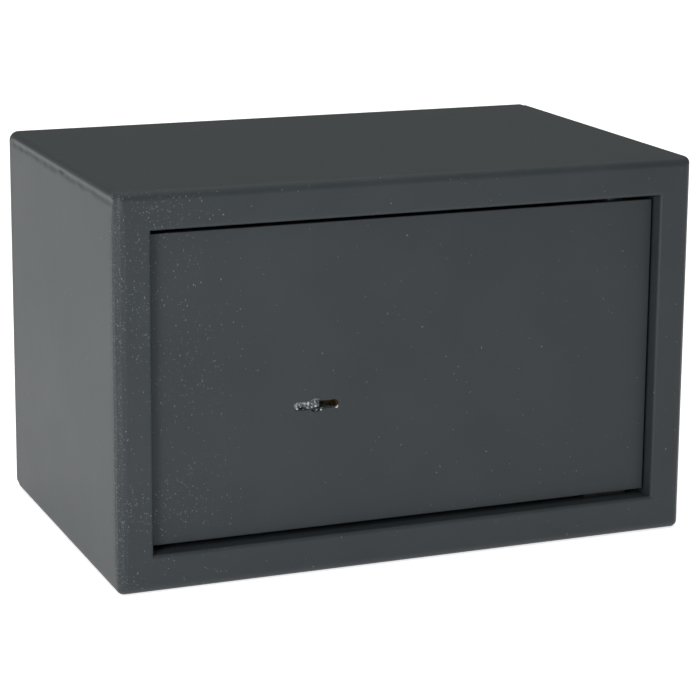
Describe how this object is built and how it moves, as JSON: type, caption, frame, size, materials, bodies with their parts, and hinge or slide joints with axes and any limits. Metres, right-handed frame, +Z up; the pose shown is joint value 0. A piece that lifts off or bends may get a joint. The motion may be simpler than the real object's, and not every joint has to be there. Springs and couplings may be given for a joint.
{
  "type": "key lock security box",
  "caption": "Small steel document safe with an insulated double wall, a recessed key-locked door on hidden pins, lever lock and locking bolts.",
  "frame": {"origin": "middle of the base, on the surface that the box stands on", "axes": "+Z up, the door faces -Y, +X to the right seen from the front (hinge side)"},
  "size_m": [0.31, 0.2, 0.2],
  "materials": {
    "powder_coat": "satin",
    "liner_paint": "satin",
    "insulation_board": "matte",
    "seal_strip": "matte",
    "felt_mat": "matte",
    "black_acetal": "satin",
    "blackened_steel": "satin",
    "brass_plate": "satin",
    "zinc_casting": "satin",
    "bright_steel": "polished",
    "zinc_plate": "satin"
  },
  "bodies": {
    "cabinet": {"outer_shell": "powder_coat", "back_panel": "powder_coat", "inner_liner": "liner_paint", "insulation_left": "insulation_board", "insulation_right": "insulation_board", "insulation_top": "insulation_board", "insulation_base": "insulation_board", "insulation_back": "insulation_board", "strike_plate": "zinc_plate", "rear_anchor_sleeves": "zinc_plate", "base_anchor_sleeves": "zinc_plate", "hinge_brackets": "blackened_steel", "hinge_pins": "bright_steel", "hinge_washers": "black_acetal", "floor_mat": "felt_mat"},
    "door": {"door_plate": "powder_coat", "door_pan": "liner_paint", "door_insulation": "insulation_board", "fire_seal": "seal_strip", "hinge_blocks": "zinc_plate", "pan_standoffs": "zinc_plate", "pan_screws": "zinc_plate", "bolt_guides": "zinc_plate", "guide_post": "bright_steel", "lock_case": "zinc_casting", "lock_cover": "zinc_plate", "lock_screws": "zinc_plate", "lever_post": "bright_steel"},
    "boltwork": {"bolt_bar": "zinc_plate", "locking_bolts": "bright_steel", "bolt_screws": "zinc_plate", "bolt_stump": "bright_steel"},
    "rotor": {"lock_rotor": "zinc_casting", "core_pin": "bright_steel", "rotor_crank": "zinc_plate", "crank_screw": "zinc_plate"},
    "levers": {"front_lever": "brass_plate", "middle_lever": "brass_plate", "rear_lever": "brass_plate", "lever_springs": "bright_steel"}
  },
  "joints": [
    {"name": "door_hinge", "type": "hinge", "parent": "cabinet", "child": "door", "pos_m": [0.115, -0.086, 0.1], "axis": [0, 0, 1], "range_deg": [0, 110]},
    {"name": "rotor_turn", "type": "hinge", "parent": "door", "child": "rotor", "pos_m": [-0.05, -0.079, 0.0854], "axis": [0, -1, 0], "range_deg": [0, 90]},
    {"name": "bolt_slide", "type": "slide", "parent": "door", "child": "boltwork", "axis": [-1, 0, 0], "range_m": [0, 0.01414]},
    {"name": "lever_drop", "type": "hinge", "parent": "door", "child": "levers", "pos_m": [-0.022, -0.084, 0.0854], "axis": [0, -1, 0], "range_deg": [0, 5]}
  ],
  "couplings": [
    {"joint": "rotor_turn", "follows": "bolt_slide", "rad_per_m": 111.07}
  ]
}
